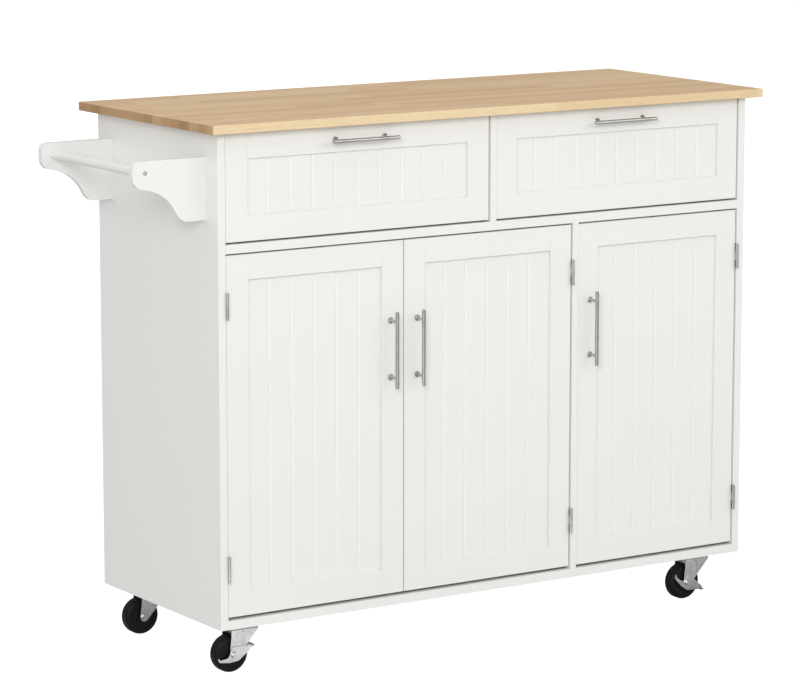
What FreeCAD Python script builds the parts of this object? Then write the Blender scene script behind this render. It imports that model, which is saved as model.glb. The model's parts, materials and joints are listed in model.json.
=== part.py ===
"""Rolling kitchen island with a butcher-block worktop.

A painted cabinet on four swivel casters: two drawers over three doors, two compartments with a
shelf each, and a towel rail on its left end.  Each sub-part is its own node, written to parts/.

The model is laid out in the cabinet's own directions, in millimetres: X from the outer face of the
left side panel, Y from the cabinet's front face towards the back, Z up from the floor.  save() then
moves every node so that the origin is the bottom centre of the whole island's box.
"""
import FreeCAD, Part
import math
import os

os.makedirs("parts", exist_ok=True)
Vector = FreeCAD.Vector
X_AXIS = Vector(1, 0, 0)
Y_AXIS = Vector(0, 1, 0)
Z_AXIS = Vector(0, 0, 1)

# ---- overall sizes ----
CABINET_WIDTH = 1076.0
CABINET_DEPTH = 404.0
CABINET_HEIGHT = 822.0
WORKTOP_THICKNESS = 15.0
WORKTOP_END_OVERHANG = 21.0
WORKTOP_FRONT_OVERHANG = 23.0
WORKTOP_BACK_OVERHANG = 30.0
WORKTOP_EDGE_ROUND = 1.5

# ---- board stock ----
PANEL_THICKNESS = 15.0
SIDE_THICKNESS = 14.0
DIVIDER_THICKNESS = 12.0
BACK_THICKNESS = 5.0
BACK_INSET = 6.0
TOP_RAIL_HEIGHT = 70.0
TOP_RAIL_SETBACK = 3.0
EDGE_EASE = 0.6

# ---- drawer fronts and doors, set a little behind the cabinet's front edges ----
FRONT_INSET = 3.0
FRONT_GAP = 2.0
LEVEL_GAP = 3.0
DOOR_BOTTOM_GAP = 5.0
DRAWER_FRONT_HEIGHT = 176.5
FRAME_WIDTH = 42.0
FRAME_THICKNESS = 5.0
BEAD_BOARD_THICKNESS = 10.0
BEAD_BOARD_PITCH = 43.4
BEAD_GROOVE_WIDTH = 4.4
BEAD_GROOVE_DEPTH = 1.3
FRAME_LAP_ON_GROOVE = 6.0

# ---- drawer boxes and runners ----
DRAWER_BACK_CLEARANCE = 25.0
DRAWER_BOX_HEIGHT = 120.0
DRAWER_BOX_LIFT = 13.5
DRAWER_BOARD_THICKNESS = 12.0
DRAWER_BOTTOM_THICKNESS = 4.0
DRAWER_BOTTOM_LIFT = 10.0
DRAWER_GROOVE_DEPTH = 5.0
DRAWER_TRAVEL = 265.0
RUNNER_SPACE = 12.5
RUNNER_HEIGHT = 35.0
RUNNER_SHEET = 1.2
RUNNER_OUTER_LIP = 9.0
RUNNER_INNER_LIP = 8.0
RUNNER_LIFT = 46.0
RUNNER_CLEARANCE = 0.7
RUNNER_SETBACK = 2.0

# ---- shelves and their pins ----
SHELF_FRONT_SETBACK = 26.0
SHELF_BACK_CLEARANCE = 3.0
SHELF_END_CLEARANCE = 1.0
SHELF_HEIGHT_SHARE = 0.5
SHELF_PIN_RADIUS = 2.5
SHELF_PIN_REACH = 8.0
SHELF_PIN_DEPTH = 5.0
SHELF_PIN_INSET = 40.0
SHELF_HOLE_STEP = 64.0
SHELF_HOLE_ROWS = (-1, 0, 1)

# ---- bar handles ----
HANDLE_BAR_RADIUS = 3.3
HANDLE_BAR_LENGTH = 130.0
HANDLE_SCREW_CENTRES = 96.0
HANDLE_STANDOFF = 21.0
HANDLE_POST_RADIUS = 2.4
HANDLE_FOOT_RADIUS = 5.5
HANDLE_FOOT_THICKNESS = 1.5
HANDLE_END_CHAMFER = 0.7
HANDLE_SCREW_RADIUS = 1.5
HANDLE_SCREW_CLEARANCE = 0.25
HANDLE_SCREW_HEAD_RADIUS = 4.0
HANDLE_SCREW_HEAD_HEIGHT = 2.4
HANDLE_SCREW_BITE = 10.0
DOOR_HANDLE_DROP = 182.0
DOOR_HANDLE_INSET = 25.5
DRAWER_HANDLE_DROP = 22.0

# ---- butt hinges ----
HINGE_LENGTH = 44.0
HINGE_END_DISTANCE = 60.0
HINGE_SHEET = 0.8
HINGE_LEAF_WIDTH = 13.0
HINGE_LEAF_SETBACK = 0.6
HINGE_KNUCKLE_RADIUS = 2.4
HINGE_AXIS_PROUD = 2.8
HINGE_PIN_RADIUS = 1.25
HINGE_PIN_CLEARANCE = 0.05
HINGE_KNUCKLE_GAP = 0.4
HINGE_SCREW_RADIUS = 1.3
HINGE_SCREW_HEAD_RADIUS = 2.6
HINGE_SCREW_LENGTH = 9.0
HINGE_SCREW_SETBACK = 8.9
HINGE_SCREW_SPACING = 26.0

# ---- magnetic catches ----
CATCH_WIDTH = 30.0
CATCH_DEPTH = 13.0
CATCH_HEIGHT = 12.0
CATCH_CLEARANCE = 0.8
STRIKE_THICKNESS = 1.2
STRIKE_WIDTH = 22.0
STRIKE_HEIGHT = 11.0
STRIKE_DROP = 1.0
CATCH_FROM_DOOR_EDGE = 28.0

# ---- towel rail and its brackets ----
BRACKET_REACH = 134.0
BRACKET_HEIGHT = 103.0
BRACKET_THICKNESS = 12.0
BRACKET_TOP_DROP = 42.0
BRACKET_INSET = 38.0
BRACKET_NOSE_HEIGHT = 41.0
BRACKET_WAIST_REACH = 70.0
BRACKET_WAIST_HEIGHT = 57.0
BRACKET_FOOT_REACH = 48.0
BRACKET_TOP_ROUND = 12.5
BRACKET_NOSE_ROUND = 18.0
BRACKET_COVE_ROUND = 73.0
BRACKET_FOOT_ROUND = 25.0
RAIL_RADIUS = 8.0
RAIL_FROM_NOSE = 22.0
RAIL_DROP = 19.0
RAIL_SCREW_RADIUS = 2.0
RAIL_SCREW_BITE = 26.0
RAIL_SCREW_HEAD_RADIUS = 3.6
RAIL_SCREW_HEAD_HEIGHT = 1.6
RAIL_SCREW_SOCKET_RADIUS = 2.0
RAIL_SCREW_SOCKET_DEPTH = 2.5
BRACKET_SCREW_BITE = 24.0
BRACKET_SCREW_INSET = 18.0

# ---- casters ----
CASTER_SIDE_DISTANCE = 66.0
CASTER_FRONT_DISTANCE = 49.0
CASTER_TRAIL = 24.0
WHEEL_RADIUS = 31.75
WHEEL_WIDTH = 24.0
WHEEL_EDGE_ROUND = 7.0
WHEEL_RIM_RADIUS = 22.0
WHEEL_DISH_DEPTH = 1.2
WHEEL_CROWN_CLEARANCE = 10.5
WHEEL_BOSS_RADIUS = 8.0
AXLE_RADIUS = 3.0
AXLE_CLEARANCE = 0.05
AXLE_HEAD_RADIUS = 5.2
AXLE_HEAD_HEIGHT = 3.2
FORK_SHEET = 2.0
FORK_INNER_WIDTH = 28.0
FORK_HUB_RADIUS = 8.2
FORK_HUB_SHIFT = 1.0
FORK_CROWN_LENGTH = 50.0
FORK_CROWN_SHIFT = -1.0
FORK_SHOULDER = 5.0
FORK_SIDE_CLEARANCE = 0.4
FORK_RIB_RADIUS = 3.5
FORK_RIB_PROUD = 0.9
FORK_RIB_FOOT = 18.0
FORK_RIB_BELOW_CROWN = 8.0
FORK_RIB_SHIFT = -5.0
PLATE_WIDTH = 60.0
PLATE_THICKNESS = 2.5
PLATE_CORNER_ROUND = 6.0
RACE_RADIUS = 20.0
RACE_HEIGHT = 5.1
RACE_CLEARANCE = 0.4
KINGPIN_RADIUS = 4.0
KINGPIN_HEAD_RADIUS = 7.0
KINGPIN_HEAD_HEIGHT = 2.0
CASTER_SCREW_SPACING = 44.0
CASTER_SCREW_RADIUS = 2.0
CASTER_SCREW_LENGTH = 12.0
CASTER_SCREW_HEAD_RADIUS = 4.2
CASTER_SCREW_HEAD_HEIGHT = 2.0

# ---- brake levers on the two front casters ----
BRAKE_SHEET = 1.5
BRAKE_SIDE_CLEARANCE = 0.4
BRAKE_TAIL_REACH = 31.0
BRAKE_WHEEL_CLEARANCE = 1.25
BRAKE_PEDAL_LENGTH = 9.0
BRAKE_PEDAL_LAP = 0.5
BRAKE_PEDAL_LEVEL = 8.5
BRAKE_PEDAL_SHEET = 1.8
BRAKE_PEDAL_ROUND = 6.0
BRAKE_PEDAL_TILT = 14.0
BRAKE_LIP_RADIUS = 2.2
BRAKE_SWING = 40.0

# ---- levels and places that follow from the sizes above ----
CASTER_STACK = FORK_SHEET + RACE_CLEARANCE + RACE_HEIGHT + PLATE_THICKNESS
CASTER_HEIGHT = 2 * WHEEL_RADIUS + WHEEL_CROWN_CLEARANCE + CASTER_STACK
BRAKE_PEDAL_START = WHEEL_RADIUS + BRAKE_WHEEL_CLEARANCE
BRAKE_PEDAL_REACH = BRAKE_PEDAL_START + BRAKE_PEDAL_LENGTH

CABINET_BASE = CASTER_HEIGHT
WORKTOP_UNDERSIDE = CABINET_BASE + CABINET_HEIGHT
DRAWER_FRONT_TOP = WORKTOP_UNDERSIDE - LEVEL_GAP
DRAWER_FRONT_BASE = DRAWER_FRONT_TOP - DRAWER_FRONT_HEIGHT
DECK_TOP = DRAWER_FRONT_BASE - LEVEL_GAP
DECK_UNDERSIDE = DECK_TOP - PANEL_THICKNESS
FLOOR_BOARD_TOP = CABINET_BASE + PANEL_THICKNESS
DOOR_TOP = DECK_UNDERSIDE - LEVEL_GAP
DOOR_BASE = FLOOR_BOARD_TOP + DOOR_BOTTOM_GAP
INNER_LEFT = SIDE_THICKNESS
INNER_RIGHT = CABINET_WIDTH - SIDE_THICKNESS
INNER_BACK = CABINET_DEPTH - BACK_INSET - BACK_THICKNESS
FRONT_THICKNESS = FRAME_THICKNESS + BEAD_BOARD_THICKNESS
FRONT_REAR = FRONT_INSET + FRONT_THICKNESS
DRAWER_BOX_DEPTH = INNER_BACK - FRONT_REAR - DRAWER_BACK_CLEARANCE

DOOR_COUNT = 3
DOOR_WIDTH = (INNER_RIGHT - INNER_LEFT - DIVIDER_THICKNESS - (DOOR_COUNT + 2) * FRONT_GAP) / DOOR_COUNT
COMPARTMENT_DIVIDER_X = INNER_LEFT + 2 * DOOR_WIDTH + 3 * FRONT_GAP
DRAWER_DIVIDER_X = (CABINET_WIDTH - DIVIDER_THICKNESS) / 2

HANDLE_REACH = HANDLE_STANDOFF + HANDLE_BAR_RADIUS - FRONT_INSET
BOX_LEFT = -max(BRACKET_REACH, WORKTOP_END_OVERHANG)
BOX_RIGHT = CABINET_WIDTH + WORKTOP_END_OVERHANG
BOX_FRONT = -max(HANDLE_REACH, WORKTOP_FRONT_OVERHANG)
BOX_BACK = CABINET_DEPTH + WORKTOP_BACK_OVERHANG
ORIGIN_X = (BOX_LEFT + BOX_RIGHT) / 2
ORIGIN_Y = (BOX_FRONT + BOX_BACK) / 2

DRAWERS = {
    "drawer_left": (INNER_LEFT, DRAWER_DIVIDER_X),
    "drawer_right": (DRAWER_DIVIDER_X + DIVIDER_THICKNESS, INNER_RIGHT),
}
DOOR_LEFT_X = INNER_LEFT + FRONT_GAP
DOOR_MIDDLE_X = DOOR_LEFT_X + DOOR_WIDTH + FRONT_GAP
DOOR_RIGHT_X = COMPARTMENT_DIVIDER_X + DIVIDER_THICKNESS + FRONT_GAP
# door: its left edge, and which of its sides carries the hinges
DOORS = {
    "door_left": (DOOR_LEFT_X, "left"),
    "door_middle": (DOOR_MIDDLE_X, "right"),
    "door_right": (DOOR_RIGHT_X, "right"),
}
CASTERS = {
    "front_left": (CASTER_SIDE_DISTANCE, CASTER_FRONT_DISTANCE),
    "front_right": (CABINET_WIDTH - CASTER_SIDE_DISTANCE, CASTER_FRONT_DISTANCE),
    "rear_left": (CASTER_SIDE_DISTANCE, CABINET_DEPTH - CASTER_FRONT_DISTANCE),
    "rear_right": (CABINET_WIDTH - CASTER_SIDE_DISTANCE, CABINET_DEPTH - CASTER_FRONT_DISTANCE),
}
# brake lever tilt at rest, degrees nose-down: the left one is released, the right one is pressed
BRAKES = {"front_left": 0.0, "front_right": BRAKE_SWING}


# ---- shape helpers ----
def box(x_span, y_span, z_span):
    """A box between two values along each axis."""
    sizes = [span[1] - span[0] for span in (x_span, y_span, z_span)]
    return Part.makeBox(*sizes, Vector(x_span[0], y_span[0], z_span[0]))


def eased(solid, radius=EDGE_EASE):
    """The solid with every edge rounded a little."""
    return solid.makeFillet(radius, solid.Edges)


def eased_box(x_span, y_span, z_span, radius=EDGE_EASE):
    return eased(box(x_span, y_span, z_span), radius)


def rod(radius, start, end):
    """A cylinder from one point to another."""
    run = end.sub(start)
    return Part.makeCylinder(radius, run.Length, start, run)


def along_x(radius, x_from, x_to, y, z):
    return rod(radius, Vector(x_from, y, z), Vector(x_to, y, z))


def along_y(radius, y_from, y_to, x, z):
    return rod(radius, Vector(x, y_from, z), Vector(x, y_to, z))


def along_z(radius, z_from, z_to, x, y):
    return rod(radius, Vector(x, y, z_from), Vector(x, y, z_to))


def hexagon(x, z, radius, y_from, y_to):
    """A hexagonal prism along Y."""
    points = []
    for i in range(7):
        angle = math.radians(60 * i)
        points.append(Vector(x + radius * math.cos(angle), y_from, z + radius * math.sin(angle)))
    return Part.Face(Part.makePolygon(points)).extrude(Vector(0, y_to - y_from, 0))


def corner_roundings(points, radii):
    """Each corner's half angle and radius; a radius is limited by the straight sides beside it."""
    following = points[1:] + points[:1]
    half_angles = []
    for i, here in enumerate(points):
        half_angles.append(points[i - 1].sub(here).getAngle(following[i].sub(here)) / 2)
    reaches = [radius / math.tan(half_angle) for radius, half_angle in zip(radii, half_angles)]
    shares = []
    for i, here in enumerate(points):
        side = following[i].sub(here).Length
        wanted = reaches[i] + reaches[(i + 1) % len(points)]
        shares.append(side / max(side, wanted))
    return half_angles, [radius * min(shares[i - 1], shares[i]) for i, radius in enumerate(radii)]


def rounded_plate(corners, y_span):
    """A plate across Y whose outline is a polygon of (x, z, round radius) corners."""
    points = [Vector(x, y_span[0], z) for x, z, _ in corners]
    half_angles, radii = corner_roundings(points, [radius for _, _, radius in corners])
    entries = []
    exits = []
    middles = []
    for i, radius in enumerate(radii):
        here = points[i]
        back = points[i - 1].sub(here).normalize()
        ahead = points[(i + 1) % len(points)].sub(here).normalize()
        reach = radius / math.tan(half_angles[i])
        entries.append(here.add(back * reach))
        exits.append(here.add(ahead * reach))
        inward = back.add(ahead).normalize()
        middles.append(here.add(inward * (radius / math.sin(half_angles[i]) - radius)))
    edges = []
    for i, radius in enumerate(radii):
        if radius > 0:
            edges.append(Part.Arc(entries[i], middles[i], exits[i]).toShape())
        start = exits[i]
        end = entries[(i + 1) % len(points)]
        if start.sub(end).Length > 1e-6:
            edges.append(Part.LineSegment(start, end).toShape())
    face = Part.Face(Part.Wire(edges))
    return face.extrude(Vector(0, y_span[1] - y_span[0], 0))


def cut_all(solid, tools):
    return solid.cut(Part.makeCompound(tools)) if tools else solid


def fuse_all(solids):
    return solids[0].multiFuse(solids[1:]).removeSplitter()


def save(name, solids):
    """Writes one node, moved so that the island's bottom centre is the origin."""
    parts = []
    for solid in solids:
        parts.extend(solid.Solids)
    shape = parts[0] if len(parts) == 1 else Part.makeCompound(parts)
    shape = shape.copy()
    shape.translate(Vector(-ORIGIN_X, -ORIGIN_Y, 0))
    shape.exportStep("parts/" + name + ".step")


# ---- butt hinges ----
def hinge(panel_x, side, z_low):
    """One hinge in the gap between a fixed panel's face and a door's edge.

    side is +1 where the door lies on the +X side of the panel, -1 where it lies on the other.
    Returns the fixed leaf, the moving leaf, the pin, and the screws of each leaf.
    """
    axis_x = panel_x + side * FRONT_GAP / 2
    axis_y = -HINGE_AXIS_PROUD
    door_x = panel_x + side * FRONT_GAP
    third = HINGE_LENGTH / 3
    z_high = z_low + HINGE_LENGTH
    middle = (z_low + third, z_high - third)
    fixed_spans = [(z_low, middle[0] - HINGE_KNUCKLE_GAP), (middle[1] + HINGE_KNUCKLE_GAP, z_high)]

    def leaf(face_x, inward, face_y, knuckle_spans, bore_radius):
        x_span = sorted((face_x, face_x + inward * HINGE_SHEET))
        start_y = face_y + HINGE_LEAF_SETBACK
        pieces = [box(x_span, (start_y, start_y + HINGE_LEAF_WIDTH), (z_low, z_high))]
        for span in knuckle_spans:
            pieces.append(box(x_span, (axis_y, start_y), span))
            pieces.append(along_z(HINGE_KNUCKLE_RADIUS, span[0], span[1], axis_x, axis_y))
        bore = along_z(bore_radius, z_low, z_high, axis_x, axis_y)
        return fuse_all(pieces).cut(bore)

    def screws(face_x, inward, face_y):
        """Countersunk screws, heads flush with the leaf, points into the panel or door edge."""
        made = []
        y = face_y + HINGE_SCREW_SETBACK
        z_middle = (z_low + z_high) / 2
        for step in (-0.5, 0.5):
            z = z_middle + step * HINGE_SCREW_SPACING
            head_at = Vector(face_x + inward * HINGE_SHEET, y, z)
            point_way = Vector(-inward, 0, 0)
            head = Part.makeCone(HINGE_SCREW_HEAD_RADIUS, HINGE_SCREW_RADIUS, HINGE_SHEET, head_at, point_way)
            neck = Vector(face_x, y, z)
            shank = rod(HINGE_SCREW_RADIUS, neck, neck.add(point_way * HINGE_SCREW_LENGTH))
            made.append(fuse_all([head, shank]))
        return made

    fixed_screws = screws(panel_x, side, 0)
    moving_screws = screws(door_x, -side, FRONT_INSET)
    fixed = leaf(panel_x, side, 0, fixed_spans, HINGE_PIN_RADIUS)
    moving = leaf(door_x, -side, FRONT_INSET, [middle], HINGE_PIN_RADIUS + HINGE_PIN_CLEARANCE)
    pin = along_z(HINGE_PIN_RADIUS, z_low, z_high, axis_x, axis_y)
    return {
        "fixed": cut_all(fixed, fixed_screws),
        "moving": cut_all(moving, moving_screws),
        "pin": pin,
        "fixed_screws": fixed_screws,
        "moving_screws": moving_screws,
    }


def door_hinges(door):
    """Both hinges of a door, low and high."""
    left_edge, hinge_side = DOORS[door]
    side = 1 if hinge_side == "left" else -1
    edge = left_edge if side == 1 else left_edge + DOOR_WIDTH
    panel_x = edge - side * FRONT_GAP
    low = DOOR_BASE + HINGE_END_DISTANCE
    high = DOOR_TOP - HINGE_END_DISTANCE - HINGE_LENGTH
    return [hinge(panel_x, side, z) for z in (low, high)]


HINGES = {door: door_hinges(door) for door in DOORS}


def hinge_parts(doors, kind):
    """Every hinge piece of one kind on the named doors."""
    found = []
    for door in doors:
        for one in HINGES[door]:
            piece = one[kind]
            found.extend(piece if isinstance(piece, list) else [piece])
    return found


# ---- bar handles ----
def handle(centre_x, centre_z, along):
    """A round bar on two footed posts, its screws, and the holes that the screws need."""
    half_bar = HANDLE_BAR_LENGTH / 2
    bar_y = FRONT_INSET - HANDLE_STANDOFF
    foot_y = FRONT_INSET - HANDLE_FOOT_THICKNESS
    centre = Vector(centre_x, bar_y, centre_z)
    bar = rod(HANDLE_BAR_RADIUS, centre.sub(along * half_bar), centre.add(along * half_bar))
    bar = bar.makeChamfer(HANDLE_END_CHAMFER, [edge for edge in bar.Edges if is_circle(edge)])
    pieces = [bar]
    screws = []
    holes = []
    for step in (-0.5, 0.5):
        place = centre.add(along * (step * HANDLE_SCREW_CENTRES))
        x, z = place.x, place.z
        pieces.append(along_y(HANDLE_POST_RADIUS, bar_y, FRONT_INSET, x, z))
        foot = along_y(HANDLE_FOOT_RADIUS, foot_y, FRONT_INSET, x, z)
        pieces.append(foot.makeChamfer(HANDLE_FOOT_THICKNESS / 3, [outermost_edge(foot, -1)]))
        shank = along_y(HANDLE_SCREW_RADIUS, FRONT_INSET - HANDLE_SCREW_BITE, FRONT_REAR, x, z)
        head = along_y(HANDLE_SCREW_HEAD_RADIUS, FRONT_REAR, FRONT_REAR + HANDLE_SCREW_HEAD_HEIGHT, x, z)
        screws.append(fuse_all([shank, head]))
        hole_radius = HANDLE_SCREW_RADIUS + HANDLE_SCREW_CLEARANCE
        holes.append(along_y(hole_radius, FRONT_INSET - 1, FRONT_REAR + 1, x, z))
    body = cut_all(fuse_all(pieces), screws)
    return [body] + screws, holes


def is_circle(edge):
    return isinstance(edge.Curve, Part.Circle)


# ---- drawer fronts and doors ----
def shaker_front(x_span, z_span, holes):
    """Stiles and rails planted on a beaded board, between y = FRONT_INSET and FRONT_REAR.

    The bead board is trimmed at its left, so its grooves are counted from the right-hand stile.
    """
    x_low, x_high = x_span
    z_low, z_high = z_span
    board_y = FRONT_INSET + FRAME_THICKNESS
    frame_y = (FRONT_INSET, board_y)
    inner_x = (x_low + FRAME_WIDTH, x_high - FRAME_WIDTH)
    frame = [
        eased_box((x_low, inner_x[0]), frame_y, z_span),
        eased_box((inner_x[1], x_high), frame_y, z_span),
        eased_box(inner_x, frame_y, (z_low, z_low + FRAME_WIDTH)),
        eased_box(inner_x, frame_y, (z_high - FRAME_WIDTH, z_high)),
    ]
    board = box(x_span, (board_y, FRONT_REAR), z_span)
    boards = max(1, round((inner_x[1] - inner_x[0]) / BEAD_BOARD_PITCH))
    groove_z = z_low + FRAME_WIDTH - FRAME_LAP_ON_GROOVE
    groove_length = z_high - z_low - 2 * (FRAME_WIDTH - FRAME_LAP_ON_GROOVE)
    half = BEAD_GROOVE_WIDTH / 2
    grooves = []
    for i in range(1, boards):
        x = inner_x[1] - i * BEAD_BOARD_PITCH
        outline = Part.makePolygon([
            Vector(x - half, board_y, groove_z),
            Vector(x + half, board_y, groove_z),
            Vector(x, board_y + BEAD_GROOVE_DEPTH, groove_z),
            Vector(x - half, board_y, groove_z),
        ])
        grooves.append(Part.Face(outline).extrude(Z_AXIS * groove_length))
    board = cut_all(board, grooves + holes)
    return [cut_all(piece, holes) for piece in frame], board


def build_drawer(name):
    """A drawer: its front, its box and its inner runners."""
    opening = DRAWERS[name]
    front_x = (opening[0] + FRONT_GAP, opening[1] - FRONT_GAP)
    front_z = (DRAWER_FRONT_BASE, DRAWER_FRONT_TOP)
    handle_x = (front_x[0] + front_x[1]) / 2
    pull, holes = handle(handle_x, DRAWER_FRONT_TOP - DRAWER_HANDLE_DROP, X_AXIS)
    frame, board = shaker_front(front_x, front_z, holes)
    save(name + "_front_frame", frame)
    save(name + "_bead_board", [board])
    save(name + "_handle", pull)

    outer = (opening[0] + RUNNER_SPACE, opening[1] - RUNNER_SPACE)
    inner = (outer[0] + DRAWER_BOARD_THICKNESS, outer[1] - DRAWER_BOARD_THICKNESS)
    box_y = (FRONT_REAR, FRONT_REAR + DRAWER_BOX_DEPTH)
    base = DRAWER_FRONT_BASE + DRAWER_BOX_LIFT
    box_z = (base, base + DRAWER_BOX_HEIGHT)
    bottom_z = (base + DRAWER_BOTTOM_LIFT, base + DRAWER_BOTTOM_LIFT + DRAWER_BOTTOM_THICKNESS)
    bottom = box((inner[0] - DRAWER_GROOVE_DEPTH, inner[1] + DRAWER_GROOVE_DEPTH), box_y, bottom_z)
    sides = [box((outer[0], inner[0]), box_y, box_z), box((inner[1], outer[1]), box_y, box_z)]
    back_y = (box_y[1] - DRAWER_BOARD_THICKNESS, box_y[1])
    save(name + "_box_sides", [side.cut(bottom) for side in sides])
    save(name + "_box_back", [box(inner, back_y, (bottom_z[1], box_z[1]))])
    save(name + "_box_bottom", [bottom])
    runners = [inner_runner(outer[0], -1, base), inner_runner(outer[1], 1, base)]
    save(name + "_inner_runners", runners)


def runner_levels(box_base):
    middle = box_base + RUNNER_LIFT + RUNNER_HEIGHT / 2
    return middle - RUNNER_HEIGHT / 2, middle + RUNNER_HEIGHT / 2


def outer_runner(panel_x, side, box_base):
    """A channel screwed to the cabinet, its lips reaching towards the drawer on the given side."""
    low, high = runner_levels(box_base)
    y_span = (FRONT_REAR + RUNNER_SETBACK, FRONT_REAR + RUNNER_SETBACK + DRAWER_BOX_DEPTH)
    web = box(sorted((panel_x, panel_x + side * RUNNER_SHEET)), y_span, (low, high))
    lip_x = sorted((panel_x, panel_x + side * (RUNNER_SHEET + RUNNER_OUTER_LIP)))
    lips = [box(lip_x, y_span, (low, low + RUNNER_SHEET)), box(lip_x, y_span, (high - RUNNER_SHEET, high))]
    return fuse_all([web] + lips)


def inner_runner(drawer_x, side, box_base):
    """A smaller channel on the drawer's side, nested inside the outer one's lips."""
    low, high = runner_levels(box_base)
    low += RUNNER_SHEET + RUNNER_CLEARANCE
    high -= RUNNER_SHEET + RUNNER_CLEARANCE
    y_span = (FRONT_REAR, FRONT_REAR + DRAWER_BOX_DEPTH)
    web = box(sorted((drawer_x, drawer_x + side * RUNNER_SHEET)), y_span, (low, high))
    lip_x = sorted((drawer_x, drawer_x + side * (RUNNER_SHEET + RUNNER_INNER_LIP)))
    lips = [box(lip_x, y_span, (low, low + RUNNER_SHEET)), box(lip_x, y_span, (high - RUNNER_SHEET, high))]
    return fuse_all([web] + lips)


def build_door(name):
    """A door: its front, handle, moving hinge leaves and the strike plate of its catch."""
    left_edge, hinge_side = DOORS[name]
    x_span = (left_edge, left_edge + DOOR_WIDTH)
    z_span = (DOOR_BASE, DOOR_TOP)
    free_side = 1 if hinge_side == "left" else -1
    free_edge = x_span[1] if free_side == 1 else x_span[0]
    handle_x = free_edge - free_side * DOOR_HANDLE_INSET
    pull, holes = handle(handle_x, DOOR_TOP - DOOR_HANDLE_DROP, Z_AXIS)
    frame, board = shaker_front(x_span, z_span, holes)
    board = cut_all(board, hinge_parts([name], "moving_screws"))
    save(name + "_front_frame", frame)
    save(name + "_bead_board", [board])
    save(name + "_handle", pull)
    save(name + "_hinge_leaves", hinge_parts([name], "moving") + hinge_parts([name], "moving_screws"))
    strike_x = free_edge - free_side * CATCH_FROM_DOOR_EDGE
    strike_y = (FRONT_REAR, FRONT_REAR + STRIKE_THICKNESS)
    strike_x_span = (strike_x - STRIKE_WIDTH / 2, strike_x + STRIKE_WIDTH / 2)
    strike_top = DOOR_TOP - STRIKE_DROP
    save(name + "_strike_plate", [box(strike_x_span, strike_y, (strike_top - STRIKE_HEIGHT, strike_top))])
    return strike_x


# ---- shelves ----
def shelf_level():
    middle = FLOOR_BOARD_TOP + SHELF_HEIGHT_SHARE * (DECK_UNDERSIDE - FLOOR_BOARD_TOP)
    return middle - PANEL_THICKNESS / 2


def shelf_pin_places():
    """(x of the panel's face, side that the pin points to) for each end of each compartment."""
    divider_right = COMPARTMENT_DIVIDER_X + DIVIDER_THICKNESS
    return [(INNER_LEFT, 1), (COMPARTMENT_DIVIDER_X, -1), (divider_right, 1), (INNER_RIGHT, -1)]


def shelf_pin_rows():
    front = SHELF_FRONT_SETBACK + SHELF_PIN_INSET
    back = INNER_BACK - SHELF_BACK_CLEARANCE - SHELF_PIN_INSET
    return front, back


def shelf_holes(panel_x, side):
    """The column of pin holes for one end, as tools that are cut from its panel."""
    z_pin = shelf_level() - SHELF_PIN_RADIUS
    holes = []
    for y in shelf_pin_rows():
        for row in SHELF_HOLE_ROWS:
            z = z_pin + row * SHELF_HOLE_STEP
            holes.append(along_x(SHELF_PIN_RADIUS, panel_x - side * SHELF_PIN_DEPTH, panel_x + side, y, z))
    return holes


def build_shelves():
    base = shelf_level()
    y_span = (SHELF_FRONT_SETBACK, INNER_BACK - SHELF_BACK_CLEARANCE)
    z_span = (base, base + PANEL_THICKNESS)
    left_x = (INNER_LEFT + SHELF_END_CLEARANCE, COMPARTMENT_DIVIDER_X - SHELF_END_CLEARANCE)
    right_start = COMPARTMENT_DIVIDER_X + DIVIDER_THICKNESS
    right_x = (right_start + SHELF_END_CLEARANCE, INNER_RIGHT - SHELF_END_CLEARANCE)
    save("shelf_left", [eased_box(left_x, y_span, z_span)])
    save("shelf_right", [eased_box(right_x, y_span, z_span)])
    pins = []
    z_pin = base - SHELF_PIN_RADIUS
    for panel_x, side in shelf_pin_places():
        for y in shelf_pin_rows():
            start = panel_x - side * SHELF_PIN_DEPTH
            pins.append(along_x(SHELF_PIN_RADIUS, start, panel_x + side * SHELF_PIN_REACH, y, z_pin))
    save("shelf_pins", pins)


# ---- towel rail ----
def bracket_spans():
    front = (BRACKET_INSET, BRACKET_INSET + BRACKET_THICKNESS)
    back_end = CABINET_DEPTH - BRACKET_INSET
    return {"front": front, "back": (back_end - BRACKET_THICKNESS, back_end)}


def rail_place():
    """x and z of the towel rail's axis."""
    return -BRACKET_REACH + RAIL_FROM_NOSE, WORKTOP_UNDERSIDE - BRACKET_TOP_DROP - RAIL_DROP


def bracket_screws(y_span):
    """Two screws through the side panel into the end of one bracket."""
    y = (y_span[0] + y_span[1]) / 2
    top = WORKTOP_UNDERSIDE - BRACKET_TOP_DROP
    made = []
    for z in (top - BRACKET_SCREW_INSET, top - BRACKET_HEIGHT + BRACKET_SCREW_INSET):
        shank = along_x(RAIL_SCREW_RADIUS, -BRACKET_SCREW_BITE, INNER_LEFT, y, z)
        head_end = INNER_LEFT + RAIL_SCREW_HEAD_HEIGHT
        head = along_x(RAIL_SCREW_HEAD_RADIUS, INNER_LEFT, head_end, y, z)
        made.append(fuse_all([shank, head]))
    return made


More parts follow.
